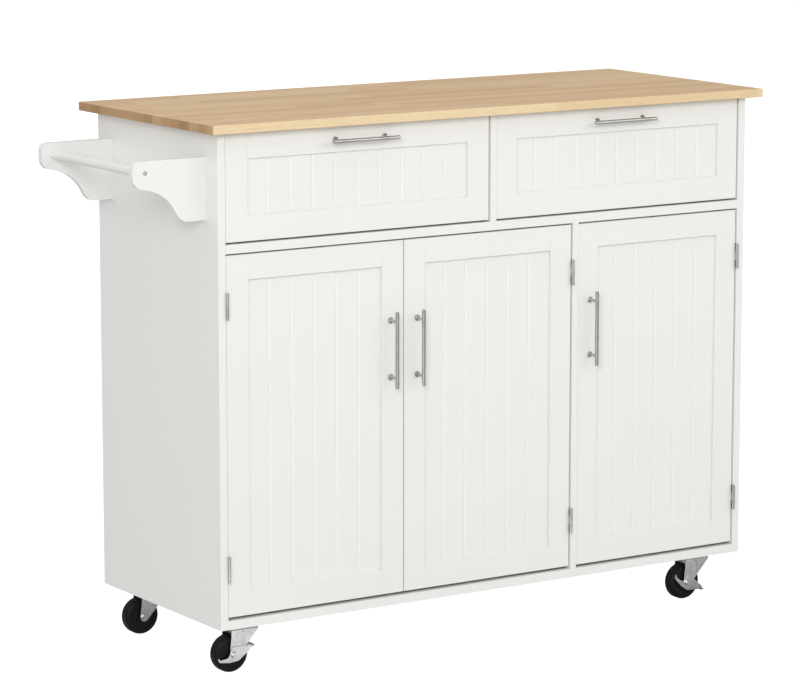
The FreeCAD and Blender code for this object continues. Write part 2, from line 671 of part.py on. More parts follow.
def rail_screw(y_outer, inward):
    """A screw through a bracket's nose into the end of the rail."""
    x, z = rail_place()
    tip = y_outer + inward * (BRACKET_THICKNESS + RAIL_SCREW_BITE)
    shank = along_y(RAIL_SCREW_RADIUS, *sorted((y_outer, tip)), x, z)
    head_span = sorted((y_outer, y_outer - inward * RAIL_SCREW_HEAD_HEIGHT))
    head = along_y(RAIL_SCREW_HEAD_RADIUS, *head_span, x, z)
    head = head.makeFillet(RAIL_SCREW_HEAD_HEIGHT / 2, [outermost_edge(head, -inward)])
    face_y = y_outer - inward * RAIL_SCREW_HEAD_HEIGHT
    socket_span = sorted((face_y - inward, face_y + inward * RAIL_SCREW_SOCKET_DEPTH))
    socket = hexagon(x, z, RAIL_SCREW_SOCKET_RADIUS, *socket_span)
    return fuse_all([shank, head]).cut(socket)


def outermost_edge(solid, way):
    """The circular edge furthest along Y, in the direction given by way."""
    circles = [edge for edge in solid.Edges if is_circle(edge)]
    return max(circles, key=lambda edge: way * edge.Curve.Center.y)


def build_towel_rail():
    top = WORKTOP_UNDERSIDE - BRACKET_TOP_DROP
    outline = [
        (0, top, 0),
        (0, top - BRACKET_HEIGHT, 0),
        (-BRACKET_FOOT_REACH, top - BRACKET_HEIGHT, BRACKET_FOOT_ROUND),
        (-BRACKET_WAIST_REACH, top - BRACKET_WAIST_HEIGHT, BRACKET_COVE_ROUND),
        (-BRACKET_REACH, top - BRACKET_NOSE_HEIGHT, BRACKET_NOSE_ROUND),
        (-BRACKET_REACH, top, BRACKET_TOP_ROUND),
    ]
    spans = bracket_spans()
    screws = {
        "front": [rail_screw(spans["front"][0], 1)] + bracket_screws(spans["front"]),
        "back": [rail_screw(spans["back"][1], -1)] + bracket_screws(spans["back"]),
    }
    for end, y_span in spans.items():
        bracket = rounded_plate(outline, y_span)
        save("towel_bracket_" + end, [cut_all(eased_faces(bracket, y_span), screws[end])])
    x, z = rail_place()
    rail = along_y(RAIL_RADIUS, spans["front"][1], spans["back"][0], x, z)
    save("towel_rail", [cut_all(rail, screws["front"] + screws["back"])])
    save("towel_rail_screws", screws["front"] + screws["back"])
    return bracket_screws(spans["front"]) + bracket_screws(spans["back"])


def eased_faces(plate, y_span):
    """Rounds the outline of a plate across Y, on both of its faces, but not where it meets x = 0."""
    picked = []
    for edge in plate.Edges:
        middle = edge.CenterOfMass
        on_face = min(abs(middle.y - y) for y in y_span) < 1e-6
        if on_face and middle.x < -1e-6:
            picked.append(edge)
    return plate.makeFillet(EDGE_EASE, picked)


# ---- casters ----
def caster_levels():
    plate_underside = CASTER_HEIGHT - PLATE_THICKNESS
    crown_top = plate_underside - RACE_HEIGHT - RACE_CLEARANCE
    return plate_underside, crown_top


def build_plate(x, y):
    """The fixed plate, its upper race and the kingpin that the fork turns on."""
    plate_underside, crown_top = caster_levels()
    half = PLATE_WIDTH / 2
    plate = box((x - half, x + half), (y - half, y + half), (plate_underside, CASTER_HEIGHT))
    upright = [edge for edge in plate.Edges if edge.BoundBox.ZLength > PLATE_THICKNESS / 2]
    plate = plate.makeFillet(PLATE_CORNER_ROUND, upright)
    race = along_z(RACE_RADIUS, plate_underside - RACE_HEIGHT, plate_underside, x, y)
    race = race.makeChamfer(RACE_HEIGHT / 3, [lowest_circle(race)])
    head_top = crown_top - FORK_SHEET - RACE_CLEARANCE
    pin = along_z(KINGPIN_RADIUS, head_top, plate_underside, x, y)
    head = along_z(KINGPIN_HEAD_RADIUS, head_top - KINGPIN_HEAD_HEIGHT, head_top, x, y)
    return fuse_all([plate, race, pin, head])


def lowest_circle(solid):
    circles = [edge for edge in solid.Edges if is_circle(edge)]
    return min(circles, key=lambda edge: edge.Curve.Center.z)


def caster_screws(x, y):
    plate_underside, _ = caster_levels()
    made = []
    half = CASTER_SCREW_SPACING / 2
    for dx in (-half, half):
        for dy in (-half, half):
            tip = plate_underside + CASTER_SCREW_LENGTH
            shank = along_z(CASTER_SCREW_RADIUS, plate_underside, tip, x + dx, y + dy)
            head_base = plate_underside - CASTER_SCREW_HEAD_HEIGHT
            head = along_z(CASTER_SCREW_HEAD_RADIUS, head_base, plate_underside, x + dx, y + dy)
            head = head.makeFillet(CASTER_SCREW_HEAD_HEIGHT / 2, [lowest_circle(head)])
            made.append(fuse_all([shank, head]))
    return made


def tangent_point(start, centre, radius, turn):
    """Where the line from start touches a circle in the XZ plane; turn picks the side, +1 or -1."""
    across = centre.sub(start)
    swing = turn * math.asin(radius / across.Length)
    reach = math.sqrt(across.Length ** 2 - radius ** 2) / across.Length
    dx = across.x * math.cos(swing) - across.z * math.sin(swing)
    dz = across.x * math.sin(swing) + across.z * math.cos(swing)
    return Vector(start.x + dx * reach, start.y, start.z + dz * reach)


def fork_legs(x, y_span):
    """The legs' outline: a broad shoulder under the crown, narrowing to a round hub at the axle."""
    _, crown_top = caster_levels()
    hub = Vector(x - CASTER_TRAIL + FORK_HUB_SHIFT, y_span[0], WHEEL_RADIUS)
    front = x + FORK_CROWN_SHIFT - FORK_CROWN_LENGTH / 2
    rear = x + FORK_CROWN_SHIFT + FORK_CROWN_LENGTH / 2
    top_front = Vector(front, y_span[0], crown_top)
    shoulder = Vector(rear, y_span[0], crown_top - FORK_SHOULDER)
    outline = Part.makePolygon([
        top_front,
        Vector(rear, y_span[0], crown_top),
        shoulder,
        tangent_point(shoulder, hub, FORK_HUB_RADIUS, 1),
        tangent_point(top_front, hub, FORK_HUB_RADIUS, -1),
        top_front,
    ])
    taper = Part.Face(outline).extrude(Vector(0, y_span[1] - y_span[0], 0))
    return fuse_all([taper, along_y(FORK_HUB_RADIUS, *y_span, hub.x, hub.z)])


def build_fork(x, y, braked):
    """A fork bent from sheet round the wheel, with the axle bolt and nut."""
    _, crown_top = caster_levels()
    half_inner = FORK_INNER_WIDTH / 2
    half_outer = half_inner + FORK_SHEET
    bent = bent_block(x, y, half_outer, crown_top, 2 * FORK_SHEET)
    hollow = bent_block(x, y, half_inner, crown_top - FORK_SHEET, FORK_SHEET)
    fork = bent.cut(hollow).common(fork_legs(x, (y - half_outer, y + half_outer)))
    fork = fuse_all([fork] + [fork_rib(x, y + side * half_outer, side) for side in (-1, 1)])
    kingpin_hole = along_z(KINGPIN_RADIUS + AXLE_CLEARANCE, crown_top - 2 * FORK_SHEET, crown_top + 1, x, y)
    axle_x = x - CASTER_TRAIL
    bolt_reach = half_outer
    if braked:
        bolt_reach += BRAKE_SHEET + 2 * BRAKE_SIDE_CLEARANCE
    shank = along_y(AXLE_RADIUS, y - bolt_reach, y + bolt_reach, axle_x, WHEEL_RADIUS)
    head = hex_head(axle_x, y - bolt_reach - AXLE_HEAD_HEIGHT)
    nut = hex_head(axle_x, y + bolt_reach)
    bolt = fuse_all([shank, head])
    return [cut_all(fork, [kingpin_hole, shank]), bolt, nut]


def fork_rib(x, face_y, side):
    """A pressed stiffening rib, proud of one leg's outer face, with a rounded end above and below."""
    _, crown_top = caster_levels()
    centre_y = face_y + side * (FORK_RIB_PROUD - FORK_RIB_RADIUS)
    low = Vector(x + FORK_RIB_SHIFT, centre_y, WHEEL_RADIUS + FORK_RIB_FOOT)
    high = Vector(x + FORK_RIB_SHIFT, centre_y, crown_top - FORK_RIB_BELOW_CROWN)
    rib = fuse_all([
        rod(FORK_RIB_RADIUS, low, high),
        Part.makeSphere(FORK_RIB_RADIUS, low),
        Part.makeSphere(FORK_RIB_RADIUS, high),
    ])
    reach = 2 * FORK_RIB_RADIUS
    keep_y = sorted((face_y - side * FORK_SHEET / 2, face_y + side * reach))
    return rib.common(box((x - FORK_CROWN_LENGTH, x + FORK_CROWN_LENGTH), keep_y, (0, CASTER_HEIGHT)))


def bent_block(x, y, half_width, top, bend_radius):
    """A block along X whose two long upper edges are rounded by the sheet's bend."""
    block = box((x - FORK_CROWN_LENGTH, x + FORK_CROWN_LENGTH), (y - half_width, y + half_width), (0, top))
    bends = []
    for edge in block.Edges:
        long_way = edge.BoundBox.XLength > FORK_CROWN_LENGTH
        if long_way and edge.CenterOfMass.z > top / 2:
            bends.append(edge)
    return block.makeFillet(bend_radius, bends)


def hex_head(x, y_start):
    """A hexagonal bolt head or nut whose flat side starts at y_start."""
    return hexagon(x, WHEEL_RADIUS, AXLE_HEAD_RADIUS, y_start, y_start + AXLE_HEAD_HEIGHT)


def build_wheel(x, y):
    """A solid wheel with a rounded tread, a dished side and a boss that bears on the axle."""
    axle_x = x - CASTER_TRAIL
    half = WHEEL_WIDTH / 2
    half_boss = FORK_INNER_WIDTH / 2 - FORK_SIDE_CLEARANCE
    tyre = along_y(WHEEL_RADIUS, y - half, y + half, axle_x, WHEEL_RADIUS)
    rims = [edge for edge in tyre.Edges if is_circle(edge)]
    tyre = tyre.makeFillet(WHEEL_EDGE_ROUND, rims)
    dishes = []
    for side in (-1, 1):
        face = y + side * half
        floor = face - side * WHEEL_DISH_DEPTH
        dish = along_y(WHEEL_RIM_RADIUS, *sorted((floor, face + side)), axle_x, WHEEL_RADIUS)
        dishes.append(dish)
    tyre = cut_all(tyre, dishes)
    boss = along_y(WHEEL_BOSS_RADIUS, y - half_boss, y + half_boss, axle_x, WHEEL_RADIUS)
    bore_radius = AXLE_RADIUS + AXLE_CLEARANCE
    bore = along_y(bore_radius, y - WHEEL_WIDTH, y + WHEEL_WIDTH, axle_x, WHEEL_RADIUS)
    return fuse_all([tyre, boss]).cut(bore)


def lever_plate(axle_x, y_span, tailed):
    """One side plate of a brake lever.  Only the plate on the outside of the island has a tail."""
    tail = -BRAKE_TAIL_REACH
    # each corner: how far behind the axle, how far above it, and its rounding
    hub_and_arm = [
        (9, -11, 12),
        (BRAKE_PEDAL_START - 4, 4, 6),
        (BRAKE_PEDAL_START + 2, 13, 2),
        (18, 13, 14),
        (-4, 13.5, 7),
    ]
    blunt_end = [(-11, 0, 6), (-8, -12.5, 8)]
    long_tail = [
        (-10, -5, 9),
        (tail * 0.85, -6.5, 2.5),
        (tail, -1.5, 0.6),
        (tail * 0.93, -10, 4),
        (-8, -13, 20),
    ]
    corners = hub_and_arm + (long_tail if tailed else blunt_end)
    placed = [(axle_x + dx, WHEEL_RADIUS + dz, radius) for dx, dz, radius in corners]
    return rounded_plate(placed, y_span)


def build_brake(x, y, nose_down):
    """Two side plates outside the fork, joined by the pedal that bridges behind the wheel."""
    axle_x = x - CASTER_TRAIL
    axle_z = WHEEL_RADIUS
    near = FORK_INNER_WIDTH / 2 + FORK_SHEET + BRAKE_SIDE_CLEARANCE
    far = near + BRAKE_SHEET
    outer_plate = lever_plate(axle_x, (y - far, y - near), True)
    inner_plate = lever_plate(axle_x, (y + near, y + far), False)
    start = Vector(axle_x + BRAKE_PEDAL_START - BRAKE_PEDAL_LAP, y - far, axle_z + BRAKE_PEDAL_LEVEL)
    run = axle_x + BRAKE_PEDAL_REACH - start.x
    pedal = Part.makeBox(run, 2 * far, BRAKE_PEDAL_SHEET, start)
    corners = []
    for edge in pedal.Edges:
        upright = edge.BoundBox.ZLength > BRAKE_PEDAL_SHEET / 2
        if upright and edge.CenterOfMass.x > start.x + run / 2:
            corners.append(edge)
    pedal = pedal.makeFillet(BRAKE_PEDAL_ROUND, corners)
    lip_y = (y - far + BRAKE_PEDAL_ROUND, y + far - BRAKE_PEDAL_ROUND)
    lip = along_y(BRAKE_LIP_RADIUS, *lip_y, start.x + run - BRAKE_LIP_RADIUS, start.z)
    pedal = fuse_all([pedal, lip])
    pedal.rotate(start, Y_AXIS, -BRAKE_PEDAL_TILT)
    lever = fuse_all([outer_plate, inner_plate, pedal])
    hub_hole = along_y(AXLE_RADIUS + AXLE_CLEARANCE, y - 2 * far, y + 2 * far, axle_x, axle_z)
    lever = lever.cut(hub_hole)
    lever.rotate(Vector(axle_x, y, axle_z), Y_AXIS, nose_down)
    return lever


def build_casters():
    plates = []
    screws = []
    for place, (x, y) in CASTERS.items():
        braked = place in BRAKES
        these_screws = caster_screws(x, y)
        plates.append(cut_all(build_plate(x, y), these_screws))
        screws.extend(these_screws)
        save("fork_" + place, build_fork(x, y, braked))
        save("wheel_" + place, [build_wheel(x, y)])
        if braked:
            save("brake_lever_" + place, [build_brake(x, y, BRAKES[place])])
    save("caster_plates", plates)
    save("caster_screws", screws)
    return screws


# ---- cabinet ----
def build_cabinet(towel_screws, plate_screws, strikes):
    """The carcass round the drawers and doors, with the worktop."""
    worktop_x = (-WORKTOP_END_OVERHANG, CABINET_WIDTH + WORKTOP_END_OVERHANG)
    worktop_y = (-WORKTOP_FRONT_OVERHANG, CABINET_DEPTH + WORKTOP_BACK_OVERHANG)
    worktop_z = (WORKTOP_UNDERSIDE, WORKTOP_UNDERSIDE + WORKTOP_THICKNESS)
    save("worktop", [eased_box(worktop_x, worktop_y, worktop_z, WORKTOP_EDGE_ROUND)])

    full_y = (0, CABINET_DEPTH)
    inner_y = (0, INNER_BACK)
    full_z = (CABINET_BASE, WORKTOP_UNDERSIDE)
    inner_x = (INNER_LEFT, INNER_RIGHT)
    divider_right = COMPARTMENT_DIVIDER_X + DIVIDER_THICKNESS

    left_cuts = hinge_parts(["door_left"], "fixed_screws") + shelf_holes(INNER_LEFT, 1) + towel_screws
    left = eased_box((0, INNER_LEFT), full_y, full_z)
    save("side_panel_left", [cut_all(left, left_cuts)])
    right_cuts = hinge_parts(["door_right"], "fixed_screws") + shelf_holes(INNER_RIGHT, -1)
    right = eased_box((INNER_RIGHT, CABINET_WIDTH), full_y, full_z)
    save("side_panel_right", [cut_all(right, right_cuts)])

    back_y = (INNER_BACK, INNER_BACK + BACK_THICKNESS)
    save("back_panel", [box(inner_x, back_y, full_z)])
    bottom = box(inner_x, inner_y, (CABINET_BASE, FLOOR_BOARD_TOP))
    save("bottom_panel", [cut_all(bottom, plate_screws)])
    save("drawer_deck", [box(inner_x, inner_y, (DECK_UNDERSIDE, DECK_TOP))])
    divider_x = (DRAWER_DIVIDER_X, DRAWER_DIVIDER_X + DIVIDER_THICKNESS)
    save("drawer_divider", [box(divider_x, inner_y, (DECK_TOP, WORKTOP_UNDERSIDE))])
    divider = box((COMPARTMENT_DIVIDER_X, divider_right), inner_y, (FLOOR_BOARD_TOP, DECK_UNDERSIDE))
    divider_cuts = hinge_parts(["door_middle"], "fixed_screws")
    divider_cuts += shelf_holes(COMPARTMENT_DIVIDER_X, -1) + shelf_holes(divider_right, 1)
    save("compartment_divider", [cut_all(divider, divider_cuts)])

    rails = []
    flat_z = (WORKTOP_UNDERSIDE - PANEL_THICKNESS, WORKTOP_UNDERSIDE)
    flat_y = (FRONT_REAR + TOP_RAIL_SETBACK, FRONT_REAR + TOP_RAIL_SETBACK + TOP_RAIL_HEIGHT)
    upright_y = (INNER_BACK - PANEL_THICKNESS, INNER_BACK)
    upright_z = (WORKTOP_UNDERSIDE - TOP_RAIL_HEIGHT, WORKTOP_UNDERSIDE)
    for opening in DRAWERS.values():
        rails.append(box(opening, flat_y, flat_z))
        rails.append(box(opening, upright_y, upright_z))
    save("top_rails", rails)

    fixed = hinge_parts(DOORS, "fixed") + hinge_parts(DOORS, "pin") + hinge_parts(DOORS, "fixed_screws")
    save("hinge_fixed_leaves", fixed)

    runners = []
    for opening in DRAWERS.values():
        base = DRAWER_FRONT_BASE + DRAWER_BOX_LIFT
        runners.append(outer_runner(opening[0], 1, base))
        runners.append(outer_runner(opening[1], -1, base))
    save("outer_runners", runners)

    catch_front = FRONT_REAR + STRIKE_THICKNESS + CATCH_CLEARANCE
    catch_y = (catch_front, catch_front + CATCH_DEPTH)
    catch_z = (DECK_UNDERSIDE - CATCH_HEIGHT, DECK_UNDERSIDE)
    catches = []
    for x in strikes:
        catches.append(eased_box((x - CATCH_WIDTH / 2, x + CATCH_WIDTH / 2), catch_y, catch_z))
    save("door_catches", catches)


def main():
    for drawer in DRAWERS:
        build_drawer(drawer)
    strikes = [build_door(door) for door in DOORS]
    build_shelves()
    towel_screws = build_towel_rail()
    plate_screws = build_casters()
    build_cabinet(towel_screws, plate_screws, strikes)


main()
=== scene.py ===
# %% [markdown]
# # A rolling kitchen island
#
# The object is a painted cabinet on four swivel casters, with a wood-block worktop, two drawers over
# three doors, and a towel rail on its left end.  Its exact shape comes from the CAD model, which is
# loaded here as a fixed frame.  This script's work is what the CAD model leaves out: what each surface
# is made of, the light and the camera.

# %% Load the frame
import json
import math

import bmesh
import bpy
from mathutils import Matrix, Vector

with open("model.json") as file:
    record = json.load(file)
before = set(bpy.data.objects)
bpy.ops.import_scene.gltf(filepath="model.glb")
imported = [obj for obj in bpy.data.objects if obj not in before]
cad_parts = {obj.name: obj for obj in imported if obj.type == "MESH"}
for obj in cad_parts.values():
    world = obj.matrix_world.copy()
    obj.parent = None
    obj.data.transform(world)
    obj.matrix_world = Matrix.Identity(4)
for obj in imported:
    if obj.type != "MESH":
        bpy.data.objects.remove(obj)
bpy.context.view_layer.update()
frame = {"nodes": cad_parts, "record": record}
print("pieces in the frame:", len(frame["nodes"]))

# %% [markdown]
# ## Helpers for building node trees
#
# A procedural material is a graph of small nodes.  Building one in Python means adding a node, setting
# its sockets and wiring it to its neighbours, over and over, so two short helpers pay for themselves
# at once.  A value passed in that is itself a socket becomes a wire, and anything else is typed into
# the socket as a plain number, colour or vector.


# %% A helper that adds one node
def add_node(tree, kind, settings=None, **inputs):
    """Adds a node, sets its options, and fills or wires its sockets by name."""
    node = tree.nodes.new(kind)
    for name, value in (settings or {}).items():
        setattr(node, name, value)
    for name, value in inputs.items():
        socket = find_input(node, name)
        if isinstance(value, bpy.types.NodeSocket):
            tree.links.new(value, socket)
        else:
            socket.default_value = value
    return node


def find_input(node, name):
    """Socket names hold spaces, so Noise_Scale is looked up as Noise Scale; i0, i1 pick by position."""
    if name[0] == "i" and name[1:].isdigit():
        return node.inputs[int(name[1:])]
    return node.inputs[name.replace("_", " ")]


# %% Arithmetic, noise and mixing in one word each
def maths(tree, operation, first, second=0.0, third=0.0):
    node = add_node(tree, "ShaderNodeMath", {"operation": operation}, i0=first, i1=second, i2=third)
    return node.outputs[0]


def vector_maths(tree, operation, first, second=(0.0, 0.0, 0.0)):
    node = add_node(tree, "ShaderNodeVectorMath", {"operation": operation}, i0=first, i1=second)
    return node.outputs[1] if operation == "DOT_PRODUCT" else node.outputs[0]


def noise(tree, vector, scale, detail=2.0, roughness=0.5):
    settings = {"noise_dimensions": "3D"}
    inputs = {"Vector": vector, "Scale": scale, "Detail": detail, "Roughness": roughness}
    return add_node(tree, "ShaderNodeTexNoise", settings, **inputs).outputs["Fac"]


def remap(tree, value, from_low, from_high, to_low, to_high):
    """Stretches a value from one range to another, and stops at the ends."""
    inputs = {"i0": value, "i1": from_low, "i2": from_high, "i3": to_low, "i4": to_high}
    return add_node(tree, "ShaderNodeMapRange", {"clamp": True}, **inputs).outputs[0]


def mix_colours(tree, factor, first, second, blend="MIX"):
    settings = {"data_type": "RGBA", "blend_type": blend}
    node = add_node(tree, "ShaderNodeMix", settings, i0=factor, i6=first, i7=second)
    return node.outputs[2]


# %% A helper that opens a node group
def new_group(name, inputs, outputs):
    """A node group with named sockets.  Returns its tree, its input sockets and its output node."""
    tree = bpy.data.node_groups.new(name, "ShaderNodeTree")
    for label, kind, default in inputs:
        socket = tree.interface.new_socket(name=label, in_out="INPUT", socket_type=kind)
        if default is not None:
            socket.default_value = default
    for label, kind in outputs:
        tree.interface.new_socket(name=label, in_out="OUTPUT", socket_type=kind)
    entry = tree.nodes.new("NodeGroupInput")
    leave = tree.nodes.new("NodeGroupOutput")
    return tree, entry.outputs, leave


def finish_group(tree, leave, **results):
    for label, socket in results.items():
        tree.links.new(socket, leave.inputs[label])
    print("node group", tree.name, "has", len(tree.nodes), "nodes")


def place_group(tree, group, **values):
    node = tree.nodes.new("ShaderNodeGroup")
    node.node_tree = group
    for label, value in values.items():
        socket = node.inputs[label.replace("_", " ")]
        if isinstance(value, bpy.types.NodeSocket):
            tree.links.new(value, socket)
        else:
            socket.default_value = value
    return node


FLOAT = "NodeSocketFloat"
COLOUR = "NodeSocketColor"
VECTOR = "NodeSocketVector"

# %% [markdown]
# ## Wood that is solid all the way through
#
# A butcher block is glued up from square staves of light hardwood, laid side by side and joined end to
# end.  Its top shows long grain, its ends show the cut rings of every stave, and the two must agree
# where they meet at an edge.  A picture wrapped round the block can't do that.  Instead each point of
# the block is asked where it lies in its own stave: how far from the heart of the tree that the stave
# was sawn from.  Rings at equal distances from that heart give straight figure along the top and
# curved rings on the end, for free.


# %% The stave group: which stave a point lies in
def build_staves():
    tree, given, leave = new_group(
        "Block staves",
        [("Vector", VECTOR, None), ("Stave Width", FLOAT, 0.04), ("Stave Length", FLOAT, 0.5)],
        [("Stave Tone", FLOAT), ("Second Tone", FLOAT), ("Seam", FLOAT), ("Local", VECTOR)],
    )
    apart = add_node(tree, "ShaderNodeSeparateXYZ", i0=given["Vector"])
    along, across, up = apart.outputs
    rows = maths(tree, "DIVIDE", across, given["Stave Width"])
    row = maths(tree, "FLOOR", rows)
    row_noise = add_node(tree, "ShaderNodeTexWhiteNoise", {"noise_dimensions": "1D"}, W=row)
    stagger = maths(tree, "MULTIPLY", row_noise.outputs["Value"], 7.3)
    lengths = maths(tree, "ADD", maths(tree, "DIVIDE", along, given["Stave Length"]), stagger)
    piece = maths(tree, "FLOOR", lengths)
    key = add_node(tree, "ShaderNodeCombineXYZ", i0=row, i1=piece, i2=0.37)
    tone = add_node(tree, "ShaderNodeTexWhiteNoise", {"noise_dimensions": "3D"}, Vector=key.outputs[0])
    second = add_node(tree, "ShaderNodeSeparateXYZ", i0=tone.outputs["Color"])

    from_middle = maths(tree, "ABSOLUTE", maths(tree, "SUBTRACT", maths(tree, "FRACT", rows), 0.5))
    row_seam = remap(tree, from_middle, 0.486, 0.498, 0.0, 1.0)
    from_end = maths(tree, "ABSOLUTE", maths(tree, "SUBTRACT", maths(tree, "FRACT", lengths), 0.5))
    end_seam = remap(tree, from_end, 0.4985, 0.4997, 0.0, 0.8)
    seam = maths(tree, "MAXIMUM", row_seam, end_seam)

    spread = vector_maths(tree, "SUBTRACT", tone.outputs["Color"], (0.5, 0.5, 0.5))
    moved = vector_maths(tree, "MULTIPLY", spread, (3.0, 0.11, 0.05))
    in_row = maths(tree, "SUBTRACT", across, maths(tree, "MULTIPLY", row, given["Stave Width"]))
    place = add_node(tree, "ShaderNodeCombineXYZ", i0=along, i1=in_row, i2=up)
    local = vector_maths(tree, "ADD", place.outputs[0], moved)
    finish_group(tree, leave, **{
        "Stave Tone": tone.outputs["Value"], "Second Tone": second.outputs[1],
        "Seam": seam, "Local": local})
    return tree


staves_group = build_staves()


# %% The ring group: what the wood looks like inside one stave
def build_rings():
    tree, given, leave = new_group(
        "Sawn wood figure",
        [("Vector", VECTOR, None), ("Ring Spacing", FLOAT, 0.004), ("Waviness", FLOAT, 0.012)],
        [("Rings", FLOAT), ("Fibre", FLOAT), ("Pores", FLOAT)],
    )
    slow = vector_maths(tree, "MULTIPLY", given["Vector"], (1.1, 9.0, 9.0))
    drift = maths(tree, "SUBTRACT", noise(tree, slow, 1.6, 3.0, 0.5), 0.5)
    apart = add_node(tree, "ShaderNodeSeparateXYZ", i0=given["Vector"])
    across = maths(tree, "ADD", apart.outputs[1], 0.02)
    depth = maths(tree, "ADD", apart.outputs[2], -0.86)
    radius = maths(tree, "SQRT", maths(tree, "ADD", maths(tree, "POWER", across, 2.0),
                                       maths(tree, "POWER", depth, 2.0)))
    radius = maths(tree, "ADD", radius, maths(tree, "MULTIPLY", drift, given["Waviness"]))
    turns = maths(tree, "DIVIDE", radius, given["Ring Spacing"])
    saw = maths(tree, "FRACT", turns)
    rings = maths(tree, "POWER", saw, 2.2)

    stretched = vector_maths(tree, "MULTIPLY", given["Vector"], (6.0, 420.0, 420.0))
    fibre = noise(tree, stretched, 1.0, 4.0, 0.65)
    fine = vector_maths(tree, "MULTIPLY", given["Vector"], (42.0, 1500.0, 1500.0))
    pores = remap(tree, noise(tree, fine, 1.0, 1.0, 0.5), 0.60, 0.72, 0.0, 1.0)
    finish_group(tree, leave, Rings=rings, Fibre=fibre, Pores=pores)
    return tree


rings_group = build_rings()

# %% [markdown]
# ## Sprayed paint, and board that was never sprayed
#
# The cabinet is painted in satin white.  Sprayed paint is never quite flat: it dries with a faint
# orange-peel skin, and its sheen drifts a little from place to place.  The shelves, drawer boxes and
# back are faced board with a finer, drier skin.  One group makes that skin, and each material places
# it with its own depth and grain.  It tints the colour by a hundredth or so, because a perfectly even
# white looks like plastic.


# %% The skin group, shared by every painted or faced board
def build_skin():
    tree, given, leave = new_group(
        "Painted skin",
        [("Vector", VECTOR, None), ("Colour", COLOUR, (0.8, 0.8, 0.8, 1.0)), ("Peel Size", FLOAT, 900.0),
         ("Roughness", FLOAT, 0.4), ("Unevenness", FLOAT, 0.1), ("Soiling", FLOAT, 0.03)],
        [("Colour", COLOUR), ("Roughness", FLOAT), ("Height", FLOAT)],
    )
    cloud = noise(tree, given["Vector"], 5.0, 4.0, 0.55)
    peel = noise(tree, given["Vector"], given["Peel Size"], 2.0, 0.4)
    centred = maths(tree, "SUBTRACT", cloud, 0.5)
    roughness = maths(tree, "MULTIPLY_ADD", centred, given["Unevenness"], given["Roughness"])
    rubbed = maths(tree, "MULTIPLY", remap(tree, cloud, 0.45, 0.75, 0.0, 1.0), given["Soiling"])
    warm = mix_colours(tree, 1.0, given["Colour"], (0.80, 0.77, 0.71, 1.0), "MULTIPLY")
    tinted = mix_colours(tree, rubbed, given["Colour"], warm)
    finish_group(tree, leave, Colour=tinted, Roughness=roughness, Height=peel)
    return tree


skin_group = build_skin()

# %% [markdown]
# ## Metal with a direction
#
# The bar handles are satin nickel with a fine, even grain.  The casters and hinges are plated steel,
# rolled flat in one direction, with fine streaks that spread a highlight sideways.  Both have slow
# patches where the plating is duller.  The streaks are noise squeezed along chosen axes, so the group
# takes that squeeze as a vector.


# %% The plating group, shared by every metal
def build_plating():
    tree, given, leave = new_group(
        "Plated metal",
        [("Vector", VECTOR, None), ("Streak Squeeze", VECTOR, (1.0, 1.0, 1.0)),
         ("Bright", COLOUR, (0.7, 0.7, 0.7, 1.0)), ("Dull", COLOUR, (0.5, 0.5, 0.5, 1.0)),
         ("Roughness", FLOAT, 0.3), ("Streak Depth", FLOAT, 0.1)],
        [("Colour", COLOUR), ("Roughness", FLOAT), ("Height", FLOAT)],
    )
    squeezed = vector_maths(tree, "MULTIPLY", given["Vector"], given["Streak Squeeze"])
    streaks = noise(tree, squeezed, 1.0, 3.0, 0.6)
    patches = noise(tree, given["Vector"], 55.0, 3.0, 0.6)
    colour = mix_colours(tree, remap(tree, patches, 0.35, 0.7, 0.0, 1.0), given["Bright"], given["Dull"])
    centred = maths(tree, "SUBTRACT", streaks, 0.5)
    roughness = maths(tree, "MULTIPLY_ADD", centred, given["Streak Depth"], given["Roughness"])
    roughness = maths(tree, "ADD", roughness, maths(tree, "MULTIPLY", patches, 0.06))
    finish_group(tree, leave, Colour=colour, Roughness=roughness, Height=streaks)
    return tree


plating_group = build_plating()


# %% [markdown]
# ## The materials
#
# Every material starts from an empty Principled surface and the piece's own coordinates.  Object
# coordinates are metres in the model's own frame, so a 30 mm stave is 0.030 whatever piece it is on,
# and the pattern stays put when a door swings.


# %% A fresh material with its surface and coordinates
def new_material(name, **surface_values):
    material = bpy.data.materials.new(name)
    material.use_nodes = True
    tree = material.node_tree
    surface = tree.nodes["Principled BSDF"]
    for label, value in surface_values.items():
        surface.inputs[label.replace("_", " ")].default_value = value
    place = tree.nodes.new("ShaderNodeTexCoord").outputs["Object"]
    return material, tree, surface, place


def bump_from(tree, surface, height, distance):
    bump = add_node(tree, "ShaderNodeBump", Height=height, Distance=distance, Strength=1.0)
    tree.links.new(bump.outputs[0], surface.inputs["Normal"])
